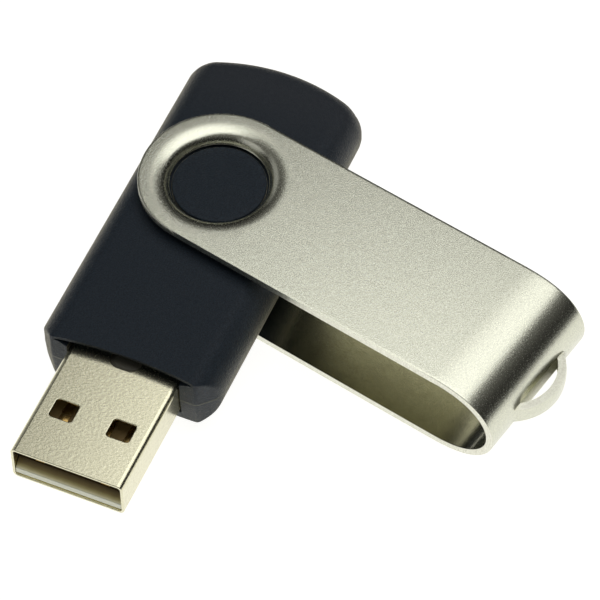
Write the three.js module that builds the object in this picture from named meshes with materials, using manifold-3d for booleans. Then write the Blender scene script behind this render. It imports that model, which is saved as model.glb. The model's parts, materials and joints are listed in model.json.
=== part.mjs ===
// Swivel-cover USB flash drive, in millimetres, +Z up.
//
// The origin is the centre of the lower pivot boss's flat face, on the axis the cover swivels about.
// +X points from the pivot towards the plug's mouth. Inside the group the parts are drawn about the
// case's middle plane, z = 0, where its two half shells meet, and the whole is lifted by BOSS_TOP.
import * as THREE from "three";
import { mergeVertices } from "three/addons/utils/BufferGeometryUtils.js";
import Module from "manifold-3d";

const wasm = await Module();
wasm.setup();

// ---- driving dimensions ----
const GAP = 0.05; // running and seating gap between neighbouring pieces

const CASE_FRONT = 23.4; // front face, from the pivot axis
const CASE_REAR = 17.2; // rearmost point of the arched rear end
const CASE_HALF_WIDTH = 9.75;
const CASE_HALF_HEIGHT = 3.53;
const REAR_SAG = 2.5; // how far the rear end arches back
const REAR_CORNER = 1.8; // plan radius between side and rear
const REAR_EDGE = 1.0; // rounding of the rear's upper and lower edges
const SIDE_INSET = 2.65; // elliptical rounding of the long edges: across
const SIDE_DROP = 3.4; // and down
const FRONT_HALF = 7.85; // half-width of the flat front face, between its 45 degree chamfers
const CHAMFER_BLEND = 2.2; // radius where a chamfer runs into the side
const FRONT_DRAFT = 0.3; // the lower shell's front leans back this much at the bottom
const ROOF_RELIEF = 0.55; // depth of the shallow arc cut in the top shell's front edge
const WALL = 1.05;

const PLUG_TIP = 36.4;
const PLUG_LENGTH = 18.75;
const PLUG_WIDTH = 12.0; // standard type A plug
const PLUG_HEIGHT = 4.5;
const PLUG_SHEET = 0.3;
const PLUG_CORNER = 0.6;
const WINDOW_NEAR = 5.05; // window's front edge, from the plug's mouth
const WINDOW_LONG = 2.2;
const WINDOW_WIDE = 2.45;
const WINDOW_AT = 3.07; // window centre, from the plug's middle
const NOTCH_FRONT = 23.6; // oval locking hole in the plug's top, mostly under the case
const NOTCH_LONG = 2.2;
const NOTCH_WIDE = 3.2;

const BOSS_RADIUS = 4.86;
const BOSS_TOP = 4.07; // boss face above the middle plane
const BOSS_EDGE = 0.15;

const COVER_HALF_WIDTH = 8.25; // also the radius of its round ends
const COVER_HALF_HEIGHT = 5.2;
const COVER_SHEET = 0.8;
const COVER_REACH = 38.9; // outside of the bend, from the pivot axis
const BEND_LONG = 6.2; // the bend is half an ellipse, this long
const COVER_ANGLE = 77.9; // degrees from +X, as displayed
const HOLE_RADIUS = 5.08;
const DISH_RADIUS = 7.1; // where the sheet starts to dip towards the hole
const DISH_LIP = 4.08; // height of the narrow flat lip round the hole, above the middle plane
const DISH_WALL = [5.35, 5.2]; // radii that steer the dish's wall, near its foot and near its shoulder

const LOOP_REACH = 41.05; // outside of the lanyard loop
const LOOP_HALF_WIDTH = 4.4;
const LOOP_HALF_HEIGHT = 0.95;

const BOARD_TOP = -0.4;
const BOARD_THICK = 0.8;
const BOARD_FRONT = 17.3;
const BOARD_REAR = 14.6;
const BOARD_HALF_WIDTH = 6.9;
const PEG_RADIUS = 0.75;
const PEGS = [[13.5, 7.75], [13.5, -7.75], [-11.5, 7.75], [-11.5, -7.75]];

const CONTACT_WIDE = 1.0;
const CONTACT_THICK = 0.2;
const CONTACT_TOP = -0.06;
const TONGUE_TOP = -0.1;
const TONGUE_RECESS = 0.1; // the tongue's tip lies this far inside the mouth

// ---- materials ----
const finish = (color, roughness, metalness) =>
  new THREE.MeshStandardMaterial({ color, roughness, metalness });
const SOFT_TOUCH = finish(0x23262f, 0.6, 0);
const SATIN_STEEL = finish(0xc3c1b4, 0.35, 1);
const NICKEL = finish(0xc8c0a8, 0.3, 1);
const WHITE_NYLON = finish(0xdedfd8, 0.5, 0);
const GOLD = finish(0xc9a44a, 0.3, 1);
const BOARD_GREEN = finish(0x1d5a33, 0.5, 0);
const EPOXY = finish(0x1b1b1c, 0.6, 0);
const TIN = finish(0xb9bbbd, 0.35, 1);
const CERAMIC_TAN = finish(0xa88a63, 0.6, 0);

// ---- solids ----
function toSolid(geometry) {
  const bare = geometry.index ? geometry.toNonIndexed() : geometry;
  const points = new THREE.BufferGeometry().setAttribute("position", bare.getAttribute("position"));
  const merged = mergeVertices(points, 1e-4);
  const vertProperties = new Float32Array(merged.attributes.position.array);
  const triVerts = new Uint32Array(merged.index.array);
  return new wasm.Manifold(new wasm.Mesh({ numProp: 3, vertProperties, triVerts }));
}

function toGeometry(solid) {
  const mesh = solid.getMesh();
  const geometry = new THREE.BufferGeometry();
  geometry.setAttribute("position", new THREE.BufferAttribute(new Float32Array(mesh.vertProperties), 3));
  geometry.setIndex(new THREE.BufferAttribute(new Uint32Array(mesh.triVerts), 1));
  return geometry;
}

const join = (first, ...rest) => rest.reduce((sum, piece) => sum.add(piece), first);
const cut = (first, ...rest) => rest.reduce((sum, piece) => sum.subtract(piece), first);
const common = (first, ...rest) => rest.reduce((sum, piece) => sum.intersect(piece), first);

// A box from its low to its high corner.
function box(x0, x1, y0, y1, z0, z1) {
  const geometry = new THREE.BoxGeometry(x1 - x0, y1 - y0, z1 - z0);
  return toSolid(geometry.translate((x0 + x1) / 2, (y0 + y1) / 2, (z0 + z1) / 2));
}

// A plan outline raised from z0 to z1.
function upright(shape, z0, z1, curveSegments = 12) {
  const geometry = new THREE.ExtrudeGeometry(shape, { depth: z1 - z0, bevelEnabled: false, curveSegments });
  return toSolid(geometry.translate(0, 0, z0));
}

// An outline drawn in (y, z) and run along X from x0 to x1.
function lengthwise(shape, x0, x1, curveSegments = 12) {
  const geometry = new THREE.ExtrudeGeometry(shape, { depth: x1 - x0, bevelEnabled: false, curveSegments });
  const turn = new THREE.Matrix4().set(0, 0, 1, x0, 1, 0, 0, 0, 0, 1, 0, 0, 0, 0, 0, 1);
  return toSolid(geometry.applyMatrix4(turn));
}

// An outline drawn in (x, z) and run across Y from -half to +half.
function crosswise(shape, half, curveSegments = 12) {
  const geometry = new THREE.ExtrudeGeometry(shape, { depth: 2 * half, bevelEnabled: false, curveSegments });
  return toSolid(geometry.rotateX(Math.PI / 2).translate(0, half, 0));
}

// A profile of [radius, z] points turned about the Z axis.
function turned(profile, segments = 48) {
  const points = profile.map(([radius, z]) => new THREE.Vector2(radius, z));
  return toSolid(new THREE.LatheGeometry(points, segments).rotateX(Math.PI / 2));
}

const disc = (radius, z0, z1, segments = 48) =>
  turned([[0, z0], [radius, z0], [radius, z1], [0, z1]], segments);
const moved = (solid, x, y, z) => solid.translate([x, y, z]);
const flipped = (solid) => solid.rotate([180, 0, 0]);

function roundedRect(halfWidth, halfHeight, radius) {
  const shape = new THREE.Shape();
  const x = halfWidth - radius;
  const y = halfHeight - radius;
  shape.absarc(x, y, radius, 0, Math.PI / 2);
  shape.absarc(-x, y, radius, Math.PI / 2, Math.PI);
  shape.absarc(-x, -y, radius, Math.PI, 1.5 * Math.PI);
  shape.absarc(x, -y, radius, 1.5 * Math.PI, 2 * Math.PI);
  return shape;
}

// ---- case ----
// Cross-section of the case: flat top and bottom, long edges rounded as quarter ellipses.
function caseSection(inset) {
  const acrossFlat = CASE_HALF_WIDTH - SIDE_INSET;
  const across = SIDE_INSET - inset;
  const down = SIDE_DROP - inset;
  const shape = new THREE.Shape();
  const rise = CASE_HALF_HEIGHT - SIDE_DROP;
  shape.absellipse(acrossFlat, rise, across, down, 0, Math.PI / 2);
  shape.absellipse(-acrossFlat, rise, across, down, Math.PI / 2, Math.PI);
  shape.absellipse(-acrossFlat, -rise, across, down, Math.PI, 1.5 * Math.PI);
  shape.absellipse(acrossFlat, -rise, across, down, 1.5 * Math.PI, 2 * Math.PI);
  return shape;
}

// Plan of the case, counter-clockwise: flat front, 45 degree chamfers blended into the sides, arched rear.
function casePlan(inset, front) {
  const half = CASE_HALF_WIDTH - inset;
  const rear = CASE_REAR - inset;
  const corner = REAR_CORNER - Math.min(inset, REAR_CORNER - 0.6);
  const arc = (half * half + REAR_SAG * REAR_SAG) / (2 * REAR_SAG);
  const arcCentre = arc - rear;
  const cornerY = half - corner;
  const cornerX = arcCentre - Math.sqrt((arc - corner) ** 2 - cornerY ** 2);
  const lean = Math.atan2(cornerY, cornerX - arcCentre);
  const blend = CHAMFER_BLEND * Math.tan(Math.PI / 8);
  const frontHalf = FRONT_HALF - inset * Math.tan(Math.PI / 8);
  const knee = front - (half - frontHalf);
  const shape = new THREE.Shape();
  shape.moveTo(front, -frontHalf);
  shape.lineTo(front, frontHalf);
  shape.lineTo(knee + blend * Math.SQRT1_2, half - blend * Math.SQRT1_2);
  shape.absarc(knee - blend, half - CHAMFER_BLEND, CHAMFER_BLEND, Math.PI / 4, Math.PI / 2);
  shape.absarc(cornerX, cornerY, corner, Math.PI / 2, lean);
  shape.absarc(arcCentre, 0, arc, lean, 2 * Math.PI - lean);
  shape.absarc(cornerX, -cornerY, corner, -lean, 1.5 * Math.PI);
  shape.absarc(knee - blend, CHAMFER_BLEND - half, CHAMFER_BLEND, -Math.PI / 2, -Math.PI / 4);
  return shape;
}

function caseBody() {
  const section = lengthwise(caseSection(0), -30, 30, 7);
  const plan = upright(casePlan(0, CASE_FRONT), -5, 5, 7);
  const rounded = new THREE.ExtrudeGeometry(casePlan(REAR_EDGE, CASE_FRONT + 6), {
    depth: 2 * (CASE_HALF_HEIGHT - REAR_EDGE),
    bevelThickness: REAR_EDGE,
    bevelSize: REAR_EDGE,
    bevelSegments: 3,
    curveSegments: 7,
  });
  return common(section, plan, toSolid(rounded.translate(0, 0, REAR_EDGE - CASE_HALF_HEIGHT)));
}

function caseHollow() {
  const section = lengthwise(caseSection(WALL), -30, CASE_FRONT - WALL, 5);
  return common(section, upright(casePlan(WALL, CASE_FRONT - WALL), -5, 5, 5));
}

// The plug's way out of the front wall; above the plug it widens into a low arch under the roof.
function plugOpening() {
  const side = PLUG_WIDTH / 2 + 0.2;
  const floor = -PLUG_HEIGHT / 2 - 0.12;
  const shape = new THREE.Shape();
  shape.moveTo(-side, floor);
  shape.lineTo(side, floor);
  shape.lineTo(side, 2.5);
  shape.lineTo(7.4, 3.1);
  shape.quadraticCurveTo(0, 3.4, -7.4, 3.1);
  shape.lineTo(-side, 2.5);
  return lengthwise(shape, CASE_FRONT - WALL - 0.4, CASE_FRONT + 1, 8);
}

// The shallow arc taken off the top shell's front edge, above the opening.
function roofRelief() {
  const half = FRONT_HALF - 0.2;
  const radius = (half * half + ROOF_RELIEF * ROOF_RELIEF) / (2 * ROOF_RELIEF);
  const centre = CASE_FRONT - ROOF_RELIEF + radius;
  const spread = Math.asin(half / radius);
  const shape = new THREE.Shape();
  shape.absarc(centre, 0, radius, Math.PI - spread, Math.PI + spread);
  shape.lineTo(CASE_FRONT + 0.5, -half);
  shape.lineTo(CASE_FRONT + 0.5, half);
  return upright(shape, 2.95, 5, 16);
}

const boss = () => turned([
  [0, 2.6],
  [BOSS_RADIUS, 2.6],
  [BOSS_RADIUS, BOSS_TOP - BOSS_EDGE],
  [BOSS_RADIUS - BOSS_EDGE, BOSS_TOP],
  [0, BOSS_TOP],
]);

// Ribs that hold the board and the plug, from the shell's inner face to just clear of what they hold.
function shellRibs(direction, boardFace) {
  const ribs = [-9.5, 15.6].map((x) => {
    const far = boardFace + direction * GAP;
    return box(x, x + 0.8, -8.3, 8.3, Math.min(far, direction * 2.7), Math.max(far, direction * 2.7));
  });
  const clearance = box(-15, 17, -6.2, 6.2, -3, 3);
  return ribs.map((rib) => rib.subtract(clearance));
}

function topShell() {
  const above = box(-40, 40, -20, 20, GAP / 2, 10);
  const shell = join(cut(caseBody(), caseHollow()), boss(), ...shellRibs(1, BOARD_TOP)
    .map((rib) => rib.intersect(box(-40, 40, -20, 20, GAP / 2, 3))));
  const sockets = PEGS.map(([x, y]) => moved(disc(PEG_RADIUS + 0.35, 0, 2.6, 16), x, y, 0));
  const bores = PEGS.map(([x, y]) => moved(disc(PEG_RADIUS + GAP, -1, 1.7, 16), x, y, 0));
  const inside = common(join(...sockets), caseBody());
  return cut(common(join(shell, inside), above), plugOpening(), roofRelief(), ...bores);
}

function bottomShell() {
  const below = box(-40, 40, -20, 20, -10, -GAP / 2);
  const ribs = shellRibs(-1, BOARD_TOP - BOARD_THICK);
  const shell = join(cut(caseBody(), caseHollow()), flipped(boss()), ...ribs);
  const post = ([x, y]) => moved(disc(PEG_RADIUS + 0.35, -2.6, 0, 16), x, y, 0);
  const posts = common(join(...PEGS.map(post)), caseBody());
  const pegs = PEGS.map(([x, y]) => moved(disc(PEG_RADIUS, -1, 1.5, 16), x, y, 0));
  const lean = new THREE.Shape();
  lean.moveTo(CASE_FRONT, 0);
  lean.lineTo(CASE_FRONT + 2, 0);
  lean.lineTo(CASE_FRONT + 2, -6);
  lean.lineTo(CASE_FRONT - FRONT_DRAFT * 6 / CASE_HALF_HEIGHT, -6);
  const half = cut(common(join(shell, posts), below), plugOpening(), crosswise(lean, 20));
  return join(half, ...pegs);
}

// ---- plug ----
const windowHole = (y) => box(
  PLUG_TIP - WINDOW_NEAR - WINDOW_LONG, PLUG_TIP - WINDOW_NEAR,
  y - WINDOW_WIDE / 2, y + WINDOW_WIDE / 2, 0, 4,
);

function notchShape(clearance) {
  const radius = NOTCH_LONG / 2 - clearance;
  const side = NOTCH_WIDE / 2 - NOTCH_LONG / 2;
  const x = NOTCH_FRONT - NOTCH_LONG / 2;
  const shape = new THREE.Shape();
  shape.absarc(x, side, radius, 0, Math.PI);
  shape.absarc(x, -side, radius, Math.PI, 2 * Math.PI);
  return shape;
}

function plugShell() {
  const rear = PLUG_TIP - PLUG_LENGTH;
  const outer = lengthwise(roundedRect(PLUG_WIDTH / 2, PLUG_HEIGHT / 2, PLUG_CORNER), rear, PLUG_TIP, 4);
  const inner = lengthwise(
    roundedRect(PLUG_WIDTH / 2 - PLUG_SHEET, PLUG_HEIGHT / 2 - PLUG_SHEET, PLUG_CORNER - PLUG_SHEET),
    rear - 1, PLUG_TIP + 1, 4,
  );
  const holes = [WINDOW_AT, -WINDOW_AT].map(windowHole);
  const underside = [WINDOW_AT, -WINDOW_AT].map((y) => moved(windowHole(y), 0, 0, -4));
  const legs = [1, -1].map((side) => {
    const outside = side * PLUG_WIDTH / 2;
    const inside = side * (PLUG_WIDTH / 2 - PLUG_SHEET);
    return box(rear - 2.4, rear + 0.5, Math.min(outside, inside), Math.max(outside, inside), -1.6, 0.6);
  });
  return join(cut(outer, inner, ...holes, ...underside, upright(notchShape(0), 0, 4, 6)), ...legs);
}

const contactY = { contact_vbus: 3.5, contact_data_minus: 1, contact_data_plus: -1, contact_ground: -3.5 };
const isPower = (y) => Math.abs(y) > 2;

// A contact lies in the tongue's top, runs back through the block and steps down onto the board.
function contact(y, clearance = 0) {
  const half = CONTACT_WIDE / 2 + clearance;
  const front = PLUG_TIP - (isPower(y) ? 1.2 : 2.2) + clearance;
  const low = CONTACT_TOP - CONTACT_THICK - clearance;
  const tail = box(BOARD_FRONT - 1.7, BOARD_FRONT + 0.2, y - half, y + half, BOARD_TOP + 0.02, CONTACT_TOP);
  return join(box(BOARD_FRONT, front, y - half, y + half, low, CONTACT_TOP + clearance), tail);
}

function plugInsulator() {
  const half = PLUG_WIDTH / 2 - PLUG_SHEET - GAP;
  const high = PLUG_HEIGHT / 2 - PLUG_SHEET - GAP;
  const tip = PLUG_TIP - TONGUE_RECESS;
  const rear = PLUG_TIP - PLUG_LENGTH + 0.1;
  const side = new THREE.Shape();
  side.moveTo(rear, -high);
  side.lineTo(tip - 0.25, -high);
  side.lineTo(tip, -high + 0.25);
  side.lineTo(tip, -0.95);
  side.lineTo(tip - 0.9, TONGUE_TOP);
  side.lineTo(24.6, TONGUE_TOP);
  side.lineTo(24.6, high);
  side.lineTo(rear, high);
  const body = crosswise(side, half - 0.1);
  const lug = upright(notchShape(0.32), high - 0.2, PLUG_HEIGHT / 2 - 0.05, 6);
  const slots = Object.values(contactY).map((y) => contact(y, 0.03));
  return cut(join(body, lug), ...slots);
}

// ---- electronics ----
function circuitBoard() {
  const underside = BOARD_TOP - BOARD_THICK;
  const blank = box(-BOARD_REAR, BOARD_FRONT, -BOARD_HALF_WIDTH, BOARD_HALF_WIDTH, underside, BOARD_TOP);
  const legWays = [1, -1].map((side) => {
    const near = side * (PLUG_WIDTH / 2 - PLUG_SHEET - GAP);
    const far = side * (BOARD_HALF_WIDTH + 1);
    return box(BOARD_FRONT - 2.2, BOARD_FRONT + 1, Math.min(near, far), Math.max(near, far), -3, 3);
  });
  const pegWays = PEGS.map(([x, y]) => moved(disc(PEG_RADIUS + 0.45, -3, 3, 16), x, y, 0));
  return cut(blank, ...legWays, ...pegWays);
}

const chipLead = (x, y, along, across) =>
  box(x - along / 2, x + along / 2, y - across / 2, y + across / 2, 0.02, 0.5);

// Long thin package: a row of leads at each end.
function flashMemory() {
  const halfLong = 9.2;
  const leads = [];
  for (let i = 0; i < 24; i++) {
    for (const end of [1, -1]) leads.push(chipLead(end * (halfLong + 0.3), (i - 11.5) * 0.5, 0.9, 0.22));
  }
  return join(box(-halfLong, halfLong, -6, 6, 0.1, 1.1), ...leads);
}

// Square package: leads on all four sides.
function controllerChip() {
  const half = 3.5;
  const leads = [];
  for (let i = 0; i < 12; i++) {
    const along = (i - 5.5) * 0.5;
    for (const side of [1, -1]) {
      const out = side * (half + 0.4);
      leads.push(chipLead(out, along, 1.2, 0.22), chipLead(along, out, 0.22, 1.2));
    }
  }
  return join(box(-half, half, -half, half, 0.1, 1.15), ...leads);
}

function voltageRegulator() {
  const leads = [[-0.95, 1], [0.95, 1], [0, -1]].map(([x, side]) => chipLead(x, side * 0.9, 0.4, 0.7));
  return join(box(-1.45, 1.45, -0.65, 0.65, 0.1, 1.1), ...leads);
}

const crystal = () => join(
  upright(roundedRect(2.5, 1.6, 0.4), 0.1, 1.1, 4),
  upright(roundedRect(2.2, 1.3, 0.3), 1, 1.25, 4),
);

// A two-terminal chip: body between two end caps that stand a little proud of it.
function passive(long, wide, high) {
  const caps = [1, -1].map((side) => {
    const ends = [side * long / 2, side * (long / 2 - 0.35)].sort((a, b) => a - b);
    return box(ends[0], ends[1], -wide / 2, wide / 2, 0.02, high);
  });
  const body = box(0.1 - long / 2, long / 2 - 0.1, 0.03 - wide / 2, wide / 2 - 0.03, 0.05, high - 0.03);
  return join(body, ...caps);
}

// ---- cover ----
function bendProfile(offset) {
  const centre = COVER_REACH - BEND_LONG;
  const along = BEND_LONG - offset;
  const high = COVER_HALF_HEIGHT - offset;
  const shape = new THREE.Shape();
  shape.moveTo(-20, -high);
  shape.lineTo(centre, -high);
  shape.absellipse(centre, 0, along, high, -Math.PI / 2, Math.PI / 2);
  shape.lineTo(-20, high);
  return shape;
}

function coverPlan() {
  const shape = new THREE.Shape();
  shape.absarc(0, 0, COVER_HALF_WIDTH, Math.PI / 2, 1.5 * Math.PI);
  shape.lineTo(COVER_REACH + 5, -COVER_HALF_WIDTH);
  shape.lineTo(COVER_REACH + 5, COVER_HALF_WIDTH);
  return shape;
}

// The sheet dips through an S-shaped wall to a narrow lip round the hole, and thins as it goes.
function dishRing() {
  const outer = [];
  const inner = [];
  const steps = 6;
  const radii = [DISH_RADIUS, DISH_WALL[1], DISH_WALL[0], HOLE_RADIUS];
  const heights = [COVER_HALF_HEIGHT, COVER_HALF_HEIGHT, DISH_LIP, DISH_LIP];
  for (let i = 0; i <= steps; i++) {
    const t = i / steps;
    const weights = [(1 - t) ** 3, 3 * t * (1 - t) ** 2, 3 * t * t * (1 - t), t ** 3];
    const slopes = [-3 * (1 - t) ** 2, 3 * (1 - t) * (1 - 3 * t), 3 * t * (2 - 3 * t), 3 * t * t];
    const sum = (parts, values) => parts.reduce((total, part, k) => total + part * values[k], 0);
    const run = sum(slopes, radii);
    const rise = sum(slopes, heights);
    const thick = COVER_SHEET * (1 - 0.55 * t) / Math.hypot(run, rise);
    outer.push([sum(weights, radii), sum(weights, heights)]);
    inner.push([outer[i][0] - thick * rise, outer[i][1] + thick * run]);
  }
  const rim = DISH_RADIUS + 0.2;
  const profile = [
    [rim, COVER_HALF_HEIGHT - COVER_SHEET],
    [rim, COVER_HALF_HEIGHT],
    ...outer,
    ...inner.reverse(),
  ];
  profile.push(profile[0]);
  return turned(profile, 40);
}

// The strap slit out of the bend and pushed outwards for a lanyard.
function lanyardLoop() {
  const bulge = LOOP_REACH - COVER_REACH;
  const radius = (LOOP_HALF_WIDTH ** 2 + bulge ** 2) / (2 * bulge);
  const centre = LOOP_REACH - radius;
  const ring = cut(
    moved(disc(radius, -LOOP_HALF_HEIGHT, LOOP_HALF_HEIGHT, 72), centre, 0, 0),
    moved(disc(radius - COVER_SHEET, -2, 2, 72), centre, 0, 0),
  );
  return common(ring, box(COVER_REACH - COVER_SHEET + 0.05, 50, -10, 10, -2, 2));
}

function swivelCover() {
  const sheet = cut(crosswise(bendProfile(0), 12, 18), crosswise(bendProfile(COVER_SHEET), 13, 18));
  const strip = common(sheet, upright(coverPlan(), -6, 6, 24));
  const half = LOOP_HALF_WIDTH - 0.3;
  const slit = box(COVER_REACH - 2, 50, -half, half, -LOOP_HALF_HEIGHT, LOOP_HALF_HEIGHT);
  const open = cut(strip, disc(DISH_RADIUS, -6, 6, 40), slit);
  return join(open, dishRing(), flipped(dishRing()), lanyardLoop());
}

// ---- assembly ----
function piece(name, solid, material) {
  const mesh = new THREE.Mesh(toGeometry(solid), material);
  mesh.name = name;
  return mesh;
}

function placed(mesh, x, y, z) {
  mesh.position.set(x, y, z);
  return mesh;
}

// A chip on the board's top face, or hung under its lower face.
function onBoard(name, solid, material, x, y, quarterTurns = 0, under = false) {
  const mesh = placed(piece(name, solid, material), x, y, under ? BOARD_TOP - BOARD_THICK : BOARD_TOP);
  mesh.rotation.set(under ? Math.PI : 0, 0, quarterTurns * Math.PI / 2);
  return mesh;
}

const drive = new THREE.Group();
drive.add(
  piece("top_shell", topShell(), SOFT_TOUCH),
  piece("bottom_shell", bottomShell(), SOFT_TOUCH),
  piece("plug_shell", plugShell(), NICKEL),
  piece("plug_insulator", plugInsulator(), WHITE_NYLON),
  piece("circuit_board", circuitBoard(), BOARD_GREEN),
  onBoard("flash_memory", flashMemory(), EPOXY, -3.8, 0),
  onBoard("controller_chip", controllerChip(), EPOXY, 8.2, 0, 0, true),
  onBoard("crystal", crystal(), TIN, 10.4, 4.0),
  onBoard("voltage_regulator", voltageRegulator(), EPOXY, 10.2, -4.4),
);
for (const [name, y] of Object.entries(contactY)) drive.add(piece(name, contact(y), GOLD));

const CAPACITORS = [
  ["input_capacitor", 12.9, -4.4, 1, false],
  ["output_capacitor", 7.9, -4.6, 1, false],
  ["crystal_capacitor_1", 9.4, 1.4, 0, false],
  ["crystal_capacitor_2", 11.9, 1.4, 0, false],
  ["flash_capacitor", -1.5, 2.2, 0, true],
  ["core_capacitor", -1.5, -2.2, 0, true],
];
for (const [name, x, y, turns, under] of CAPACITORS) {
  drive.add(onBoard(name, passive(1.6, 0.8, 0.8), CERAMIC_TAN, x, y, turns, under));
}
const RESISTORS = [
  ["data_resistor_minus", 14.0, 1.0, 0, true],
  ["data_resistor_plus", 14.0, -1.0, 0, true],
  ["pull_up_resistor", 1.6, 4.6, 1, true],
];
for (const [name, x, y, turns, under] of RESISTORS) {
  drive.add(onBoard(name, passive(1.6, 0.8, 0.45), EPOXY, x, y, turns, under));
}

const cover = new THREE.Group();
cover.rotation.z = THREE.MathUtils.degToRad(COVER_ANGLE);
cover.add(piece("swivel_cover", swivelCover(), SATIN_STEEL));

const flashDrive = new THREE.Group();
const lifted = new THREE.Group();
lifted.position.z = BOSS_TOP;
lifted.add(drive, cover);
flashDrive.add(lifted);
export default flashDrive;
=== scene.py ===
import json
import math
import bmesh
import bpy
from mathutils import Matrix, Vector


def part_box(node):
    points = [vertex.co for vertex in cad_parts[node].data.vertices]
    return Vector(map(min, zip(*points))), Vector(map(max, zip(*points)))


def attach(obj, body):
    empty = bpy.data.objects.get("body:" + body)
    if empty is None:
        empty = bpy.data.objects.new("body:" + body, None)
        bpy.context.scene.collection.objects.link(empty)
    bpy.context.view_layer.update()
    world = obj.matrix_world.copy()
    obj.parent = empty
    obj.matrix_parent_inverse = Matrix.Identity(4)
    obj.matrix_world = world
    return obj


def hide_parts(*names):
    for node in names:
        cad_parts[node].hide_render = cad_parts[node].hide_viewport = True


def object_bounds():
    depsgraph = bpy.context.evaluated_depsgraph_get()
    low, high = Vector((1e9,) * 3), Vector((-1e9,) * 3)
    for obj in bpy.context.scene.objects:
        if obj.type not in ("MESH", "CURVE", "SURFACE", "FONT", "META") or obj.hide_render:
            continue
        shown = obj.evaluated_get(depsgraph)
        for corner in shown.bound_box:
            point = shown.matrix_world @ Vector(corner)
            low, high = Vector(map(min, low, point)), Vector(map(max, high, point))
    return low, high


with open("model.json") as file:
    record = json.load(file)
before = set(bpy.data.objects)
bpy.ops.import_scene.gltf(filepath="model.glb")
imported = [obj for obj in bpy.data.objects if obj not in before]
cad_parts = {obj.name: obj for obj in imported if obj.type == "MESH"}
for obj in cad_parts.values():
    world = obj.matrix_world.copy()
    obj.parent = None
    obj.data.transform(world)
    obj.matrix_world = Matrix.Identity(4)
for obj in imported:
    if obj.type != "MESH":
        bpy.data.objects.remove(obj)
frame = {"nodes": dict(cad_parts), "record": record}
CAD_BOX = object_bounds()

MM = 0.001

# ---- sizes from the frame ----
top_low, top_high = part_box("top_shell")
plug_low, plug_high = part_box("plug_shell")
MIDDLE = top_high.z / 2  # height of the case's middle plane, where the two shells meet
CASE_FRONT = top_high.x
CASE_REAR = -top_low.x
CASE_HALF_WIDTH = top_high.y
BOSS_RISE = top_high.z - MIDDLE
PLUG_TIP = plug_high.x
PLUG_HALF_WIDTH = plug_high.y
PLUG_HALF_HEIGHT = (plug_high.z - plug_low.z) / 2

# ---- the case's form ----
CASE_HALF_HEIGHT = 3.53 * MM
SIDE_INSET = 2.65 * MM
SIDE_DROP = 3.4 * MM
REAR_SAG = 2.5 * MM
REAR_CORNER = 1.8 * MM
REAR_EDGE = 1.75 * MM
FRONT_HALF = 7.85 * MM
CHAMFER_BLEND = 2.2 * MM
FRONT_DRAFT = 0.3 * MM  # how far the lower shell's front leans back
ROOF_RELIEF = 0.55 * MM  # depth of the shallow arc cut in the roof's front edge
RELIEF_FLOOR = 2.95 * MM
LEAN_START = 15 * MM  # the lower shell leans back from here to its front
WALL = 1.05 * MM
SIDE_WALL = 1.5 * MM
REAR_WALL = 2.5 * MM
HOLLOW_CUT_LONG = 2 * MM  # the hollow's rear corners are cut off
HOLLOW_CUT_WIDE = 4 * MM
OPENING_SIDE_GAP = 0.09 * MM
OPENING_FLOOR_GAP = 0.12 * MM
OPENING_SHOULDER = 2.5 * MM
OPENING_HALF_WIDTH = 7.4 * MM  # half-width of the opening's bowed roof
OPENING_ROOF = 3.1 * MM
OPENING_BOW = 0.15 * MM
SEAM = 0.003 * MM
SEAM_BEVEL = 0.025 * MM
CRISP_EDGE = 0.2 * MM
FRONT_FILLET = 0.6 * MM
BOSS_RADIUS = 4.86 * MM
BOSS_EDGE = 0.2 * MM
BOSS_CROWN = 0.05 * MM
BOSS_ROOT = 0.4 * MM  # how deep the boss reaches into the shell
CHAMFER_SLANT = math.sqrt(0.5)
FILLET_REACH = math.tan(math.pi / 8)  # how far a fillet on a 45 degree turn reaches, for each unit of radius

# ---- the cover's form ----
COVER_HALF_WIDTH = 8.25 * MM
COVER_HALF_HEIGHT = 5.2 * MM
COVER_SHEET = 0.8 * MM
ROLL_WIDTH = 0.26 * MM
ROLL_DROP = 0.035 * MM
EDGE_EASE = 0.06 * MM
MERGE_REACH = 0.002 * MM
DISH_STEPS = 20
LIP_THINNING = 0.55  # share of the sheet's thickness lost towards the hole
ROLL_STEPS = 6
COVER_REACH = 38.9 * MM
BEND_LONG = 7.2 * MM
BEND_POWER = 2.35  # over 2, so that the bend starts gradually
BEND_STEPS = 22
ARM_STEPS = 8
COVER_ANGLE = math.radians(77.9)
HOLE_RADIUS = 5.08 * MM
DISH_RADIUS = 7.1 * MM
LIP_HEIGHT = 4.08 * MM
LIP_PULL_OUT = 0.24 * MM  # how far, and how high, the dish's curve is pulled as it leaves the hole
LIP_PULL_UP = 0.16 * MM
SHOULDER_RADIUS = 5.25 * MM  # the dish's curve is pulled level towards here
LOOP_REACH = 41.03 * MM
LOOP_HALF_WIDTH = 4.4 * MM
LOOP_HALF_HEIGHT = 0.95 * MM
LOOP_COLUMNS = 32

# ---- the plug's form ----
PLUG_LENGTH = 18.75 * MM
PLUG_SHEET = 0.3 * MM
PLUG_CORNER = 0.6 * MM
WINDOW_NEAR = 5.05 * MM
WINDOW_LONG = 2.2 * MM
WINDOW_WIDE = 2.45 * MM
WINDOW_AT = 3.07 * MM
WINDOW_CORNER = 0.35 * MM
NOTCH_FRONT = 23.6 * MM
NOTCH_LONG = 2.2 * MM
NOTCH_WIDE = 3.2 * MM
PLUG_EASE = 0.1 * MM
TONGUE_TOP = -0.1 * MM
TONGUE_RECESS = 0.1 * MM
TONGUE_SLANT_LONG = 0.9 * MM
TONGUE_NOSE = -0.95 * MM  # where the slanted front edge of the tongue ends
TONGUE_CHIN = 0.25 * MM
BLOCK_FRONT = 24.6 * MM  # the insulator's full-height block starts here
LUG_GAP = 0.32 * MM
CONTACT_TOP = -0.06 * MM
CONTACT_THICK = 0.2 * MM
CONTACT_HALF = 0.5 * MM
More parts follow.
